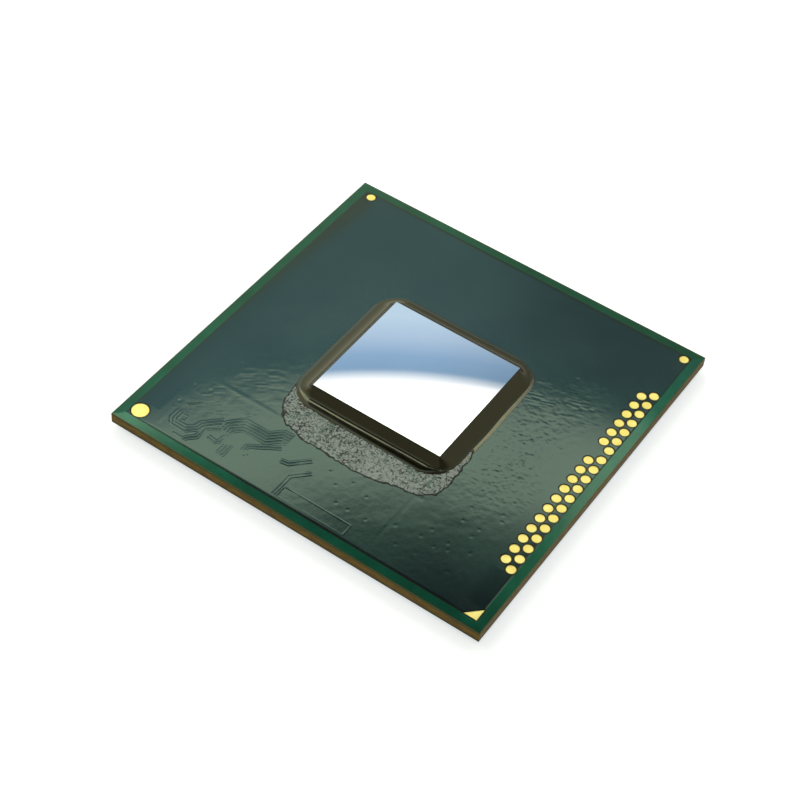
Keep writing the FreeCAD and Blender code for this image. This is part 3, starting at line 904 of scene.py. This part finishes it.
# places of one ring of the fillet, out from the die by a share of its reach
def filletRing(share, height):
    plan = fillPlan
    dieX, dieY = dieHigh.x / mm, dieHigh.y / mm
    reach = [fillHigh.x / mm - dieX, fillHigh.y / mm - dieY, -fillLow.x / mm - dieX, -fillLow.y / mm - dieY]
    count = plan["aroundSide"], plan["aroundCorner"]

    def loopAt(part):
        sides = [edge + out * part for edge, out in zip((dieX, dieY, dieX, dieY), reach)]
        radius = plan["dieRadius"] + (plan["footRadius"] - plan["dieRadius"]) * part
        return roundedLoop(*sides, radius, *count)
    inner, foot = loopAt(0.0), loopAt(1.0)
    back = fade(foot[:, 1], dieY + plan["backFrom"], dieY + plan["backTo"])
    left = fade(-foot[:, 0], dieX + plan["leftFrom"], dieX + plan["leftTo"])
    low, high = plan["crestBack"]
    crest = plan["crestFar"] + (plan["crestLeft"] - plan["crestFar"]) * left
    crest = crest + (low + (high - low) * fade(foot[:, 0], -3.8, 4.2) - crest) * back
    mid = plan["crest"]
    if share <= mid:
        part = share / mid * crest
    else:
        part = crest + (min(share, 1.0) - mid) / (1 - mid) * (1 - crest)
    outward = foot - inner
    outward = outward / np.hypot(outward[:, 0], outward[:, 1])[:, None]
    # the corners follow arcs, so each point goes between two whole loops
    loops = plan["loops"]
    dense = np.array([loopAt(step / loops) for step in range(loops + 1)])
    row = np.clip(part * loops, 0, loops - 0.001)
    base = row.astype(int)
    blend = (row - base)[:, None]
    columns = np.arange(len(foot))
    place = dense[base, columns] * (1 - blend) + dense[base + 1, columns] * blend
    onlyLeft = left * (1 - back)
    past = max(share - 1.0, 0.0)
    skirt = past * plan["skirt"] * np.maximum(onlyLeft, plan["skirtElsewhere"])
    uneven = softNoise(foot[:, 0], foot[:, 1], 1.9, 31) * plan["unevenFoot"] * min(share, 1.0)
    place = place + outward * (skirt + uneven)[:, None]
    near = np.maximum(back, left)
    wave = softNoise(foot[:, 0] * 1.3, foot[:, 1] * 1.3, 1.1, 32)
    rise = height + wave * plan["unevenHeight"] * min(share * 2, 1)
    lower = np.minimum(rise, plan["wetNear"] - plan["wetSlope"] * share)
    rise = np.where(share < 0.15, rise + (lower - rise) * near, rise)
    hollow = plan["wetNear"] * max(1 - share, 0.0) ** plan["leftHollow"]
    hollow = hollow + plan["leftFoot"] - plan["leftFall"] * past
    if share < plan["profile"][-1][0]:           # the last ring closes the foot under the mask
        rise = rise + (hollow - rise) * onlyLeft
    return np.column_stack([place, rise])


def makeUnderfill():
    rings = [filletRing(share, height) for share, height in fillPlan["profile"]]
    count = len(rings[0])
    deselectAll()
    bpy.ops.mesh.primitive_circle_add(vertices=count, radius=1, fill_type="NOTHING")
    ring = bpy.context.object
    editMode(ring, "EDGE")
    selectAll()
    for _ in rings[1:]:
        bpy.ops.mesh.extrude_region_move(TRANSFORM_OT_translate={"value": (0, 0, -0.1)})
    objectMode()
    for vertex in ring.data.vertices:
        row = round(-vertex.co.z / 0.1)
        column = round(math.atan2(vertex.co.y, vertex.co.x) / (2 * math.pi) * count) % count
        x, y, z = rings[row][column]
        vertex.co = (x * mm, y * mm, surface + z * mm)
    editMode(ring, "EDGE")
    faceOutward()
    objectMode()
    if sum(face.normal.z for face in ring.data.polygons) < 0:
        ring.data.flip_normals()
    smoothAll(ring)
    return ring


def resinMaterial():
    material, tree, shader, place = startMaterial("underfill_resin")
    cloud = noiseValue(tree, place, 900.0, 3.0)
    feedAll(tree, shader, {
        "Base Color": ramp(tree, cloud, (0.3, (0.0040, 0.0034, 0.0004)), (0.7, (0.0080, 0.0068, 0.0010))),
        "Roughness": greyRamp(tree, noiseValue(tree, place, 2600.0, 4.0), (0.3, 0.07), (0.7, 0.12)),
        "IOR": 1.6, "Specular Tint": (1.0, 0.95, 0.66, 1)})
    peel = useGroup(tree, orangePeel, Place=place, Fine=9000.0, Broad=1800.0, Share=0.4)
    addBump(tree, shader, peel["Height"], 0.25, 0.004)
    return material


resin = resinMaterial()
finishPiece(makeUnderfill(), "underfill_fillet", [resin], "underfill", "underfill")


# dispense tongue: a thin skin of resin full of pits, where the needle ran
tonguePlan = dict(
    step=0.036, skin=0.026, grain=0.012, pit=0.028, sunk=-0.016,
    clear=0.35,                        # nothing is made nearer than this to the die
    shore=0.07, pitsFrom=0.03, pitsTo=0.16,            # depths inside the outline
    warp=0.10, worms=(0.145, 0.08), pitted=0.20,       # the pits' wander, widths and share
    outline=[(5.30, 3.4), (5.58, 4.2), (5.55, 4.9), (5.36, 5.85), (4.88, 6.65), (4.2, 7.12), (3.4, 7.36),
             (2.4, 7.54), (0.5, 7.62), (-1.4, 7.60), (-2.3, 7.45), (-3.5, 7.13), (-4.7, 6.86),
             (-5.38, 6.33), (-5.66, 5.8), (-5.72, 5.2), (-5.70, 4.4), (-5.66, 3.4), (-5.56, 2.4),
             (-5.28, 2.2), (-5.0, 4.2), (-4.0, 5.1), (0.0, 5.2), (4.2, 5.0)],
)


# distance from a closed smooth outline, positive inside
def insideOutline(x, y, corners):
    ring = np.array(corners)
    dense = []
    count = len(ring)
    for i in range(count):
        a, b, c, d = (ring[(i + k) % count] for k in (-1, 0, 1, 2))
        for t in np.linspace(0, 1, 8, endpoint=False):
            dense.append(0.5 * ((2 * b) + (c - a) * t + (2 * a - 5 * b + 4 * c - d) * t ** 2
                                + (3 * b - a - 3 * c + d) * t ** 3))
    dense = np.array(dense)
    gap = np.full(x.shape, 1e9)
    within = np.zeros(x.shape, bool)
    for start, end in zip(dense, np.roll(dense, -1, axis=0)):
        run = end - start
        gap = np.minimum(gap, nearRun(x, y, start, run)[1])
        crosses = (start[1] > y) != (end[1] > y)
        within ^= crosses & (x < run[0] * (y - start[1]) / (run[1] + 1e-12) + start[0])
    return np.where(within, gap, -gap)


# 0 on the skin, 1 in the pits and worm-like channels
def tonguePits(x, y):
    warp, (coarse, fine) = tonguePlan["warp"], tonguePlan["worms"]
    warpX = x + warp * softNoise(x, y, 0.35, 41)
    warpY = y + warp * softNoise(x, y, 0.35, 42)
    worms = softNoise(warpX, warpY, coarse, 43) + 0.5 * softNoise(warpX, warpY, fine, 44)
    amount = tonguePlan["pitted"] + 0.09 * softNoise(x, y, 1.1, 45) + 0.05 * fade(6.6 - y, 0.0, 1.2)
    return 1 - fade(np.abs(worms), amount * 0.55, amount * 1.45)


# depth inside the wandering shore of the skin, in mm
def tongueDepth(x, y):
    wander = 0.07 * softNoise(x, y, 0.55, 46) + 0.05 * softNoise(x, y, 0.22, 47)
    return insideOutline(x, y, tonguePlan["outline"]) + wander


def tongueHeight(x, y):
    plan = tonguePlan
    depth = tongueDepth(x, y)
    skin = plan["skin"] * (1 + 0.25 * softNoise(x, y, 0.9, 48)) + plan["grain"] * softNoise(x, y, 0.085, 49)
    pits = plan["pit"] * tonguePits(x, y) * fade(depth, plan["pitsFrom"], plan["pitsTo"])
    return plan["sunk"] + (skin - plan["sunk"]) * fade(depth, 0.0, plan["shore"]) - pits


def makeTongue():
    plan = tonguePlan
    xs = np.arange(-6.0, 5.9, plan["step"])
    ys = np.arange(2.0, 7.9, plan["step"])
    skin = gridPiece("tongue_skin", xs, ys, tongueHeight, surface)
    editMode(skin)
    dieX, dieY = dieHigh.x + plan["clear"] * mm, dieHigh.y + plan["clear"] * mm
    floor = surface + plan["sunk"] * 0.98 * mm
    pickFaces(skin, lambda centre, normal: (abs(centre.x) < dieX and centre.y < dieY) or centre.z < floor)
    bpy.ops.mesh.delete(type="FACE")
    objectMode()
    pits = skin.data.attributes.new("pits", "FLOAT", "POINT")      # painted shade in the pits, and painted shadow along the shore, as dark as the pits
    x, y, _ = pointsOf(skin.data).T / mm
    shore = 1 - fade(tongueDepth(x, y), 0.09, 0.16)
    pits.data.foreach_set("value", np.maximum(tonguePits(x, y), shore))
    smoothAll(skin)
    return skin


def tongueMaterial():
    material, tree, shader, place = startMaterial("pitted_resin")
    pits = node(tree, "Attribute", attribute_name="pits")
    grain = noiseValue(tree, place, 9000.0, 4.0, 0.7)
    skin = ramp(tree, grain, (0.25, (0.205, 0.230, 0.222)), (0.75, (0.520, 0.560, 0.545)))
    # painted shade: the base colour goes near-black in the pits and along the shore
    deep = greyRamp(tree, pits.outputs["Fac"], (0.15, 0.0), (0.75, 1.0))
    feedAll(tree, shader, {
        "Base Color": mixColour(tree, deep, skin, (0.010, 0.011, 0.009, 1)),
        "Roughness": greyRamp(tree, grain, (0.3, 0.38), (0.7, 0.60))})
    addBump(tree, shader, grain, 0.6, 0.008)
    return material


pittedResin = tongueMaterial()
finishPiece(makeTongue(), "dispense_tongue_skin", [pittedResin], "residue", "dispense_tongue")


# balls: tin solder, on a square grid with its corners left out
ballPlan = dict(pitch=0.80, diameter=0.48, neck=0.19, skip=3, rows=2, around=10, up=6)


def makeBalls():
    plan = ballPlan
    low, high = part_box("signal_balls")
    radius, step = plan["diameter"] / 2 * mm, plan["pitch"] * mm
    first = low.x + radius
    count = round((high.x - low.x - 2 * radius) / step) + 1
    deselectAll()
    bpy.ops.mesh.primitive_uv_sphere_add(segments=plan["around"], ring_count=plan["up"], radius=radius,
                                         location=(first, first, radius))
    ball = bpy.context.object
    bakePlace(ball)
    editMode(ball, "VERT")
    selectAll()
    neckLevel = radius + math.sqrt(radius ** 2 - (plan["neck"] * mm) ** 2)
    bpy.ops.mesh.bisect(plane_co=(first, first, neckLevel), plane_no=(0, 0, 1),
                        clear_outer=True, use_fill=True)
    objectMode()
    smoothByAngle(ball, 50)
    for direction in ((step, 0, 0), (0, step, 0)):
        applyModifier(ball, "ARRAY", count=count, use_relative_offset=False, use_constant_offset=True,
                      constant_offset_displace=direction)

    # whole pitches that a ball lies in from the nearest corner, both ways added
    def fromCorner(at):
        ways = [(round(value / step - 0.5) + 0.5) * step for value in (at.x, at.y)]
        return sum(round((-first - abs(way)) / step) for way in ways)
    editMode(ball)
    pickFaces(ball, lambda centre, normal: fromCorner(centre) < plan["skip"])
    bpy.ops.mesh.delete(type="FACE")
    pickFaces(ball, lambda centre, normal: fromCorner(centre) < plan["skip"] + plan["rows"])
    before = set(bpy.data.objects)
    bpy.ops.mesh.separate(type="SELECTED")
    objectMode()
    corner = next(thing for thing in bpy.data.objects if thing not in before)
    return ball, corner


def solderMaterial():
    material, tree, shader, place = startMaterial("tin_solder")
    frost = noiseValue(tree, place, 8000.0, 4.0, 0.6)
    feedAll(tree, shader, {
        "Base Color": ramp(tree, frost, (0.3, (0.52, 0.53, 0.54)), (0.7, (0.70, 0.71, 0.71))),
        "Roughness": greyRamp(tree, frost, (0.3, 0.20), (0.7, 0.38)),
        "Metallic": 1.0})
    addBump(tree, shader, frost, 0.2, 0.004)
    return material


solder = solderMaterial()
signalBalls, cornerBalls = makeBalls()
finishPiece(signalBalls, "solder_balls", [solder], "solder", "signal_balls")
finishPiece(cornerBalls, "solder_balls_at_corners", [solder], "solder", "corner_balls")


# substrate: sawn edges of the core and the films, green lacquer below
def laminateMaterial():
    material, tree, shader, place = startMaterial("sawn_core")
    weave = node(tree, "Mapping", {"Vector": place, "Scale": (1.0, 1.0, 7.0)})
    bundles = noiseValue(tree, weave.outputs[0], 1500.0, 3.0, 0.6)
    fibres = noiseValue(tree, place, 14000.0, 4.0, 0.7)
    amber = ramp(tree, bundles, (0.25, (0.075, 0.040, 0.002)), (0.50, (0.155, 0.088, 0.004)),
                 (0.75, (0.250, 0.155, 0.010)))
    dark = greyRamp(tree, fibres, (0.35, 0.45), (0.65, 1.0))
    feedAll(tree, shader, {
        "Base Color": mixColour(tree, 0.7, amber, dark, "MULTIPLY"),
        "Roughness": greyRamp(tree, fibres, (0.3, 0.50), (0.7, 0.75)),
        "Specular IOR Level": 0.12})
    addBump(tree, shader, fibres, 0.5, 0.01)
    return material


# a build-up film between two colours
def filmMaterial(name, low, high):
    material, tree, shader, place = startMaterial(name)
    fine = noiseValue(tree, place, 12000.0, 4.0, 0.7)
    broad = noiseValue(tree, place, 800.0, 2.0)
    tone = ramp(tree, broad, (0.3, low), (0.7, high))
    feedAll(tree, shader, {
        "Base Color": mixColour(tree, fine, tone, (0.02, 0.015, 0.004, 1)),
        "Roughness": greyRamp(tree, fine, (0.3, 0.40), (0.7, 0.65)),
        "Specular IOR Level": 0.15})
    addBump(tree, shader, fine, 0.4, 0.006)
    return material


def copperMaterial():
    material, tree, shader, place = startMaterial("plain_copper")
    patch = noiseValue(tree, place, 2500.0, 3.0)
    feedAll(tree, shader, {
        "Base Color": ramp(tree, patch, (0.3, (0.60, 0.27, 0.14)), (0.7, (0.78, 0.40, 0.24))),
        "Roughness": greyRamp(tree, patch, (0.3, 0.30), (0.7, 0.45)),
        "Metallic": 1.0})
    return material


sawnCore, copper = laminateMaterial(), copperMaterial()
upperFilm = filmMaterial("sawn_upper_film", (0.030, 0.046, 0.003), (0.075, 0.082, 0.005))
lowerFilm = filmMaterial("sawn_lower_film", (0.045, 0.026, 0.003), (0.080, 0.046, 0.005))
for name in nodes:
    if name.startswith("film"):
        dressNodes(upperFilm if "top" in name else lowerFilm, name)
    elif name.startswith(("copper", "core_copper", "microvias", "via_barrels")):
        dressNodes(copper, name)
dressNodes(sawnCore, "core_laminate", "via_plugs")
dressNodes(solder, "flip_chip_bumps")
dressNodes(maskGreen, "solder_mask_bottom")
print("substrate dressed")
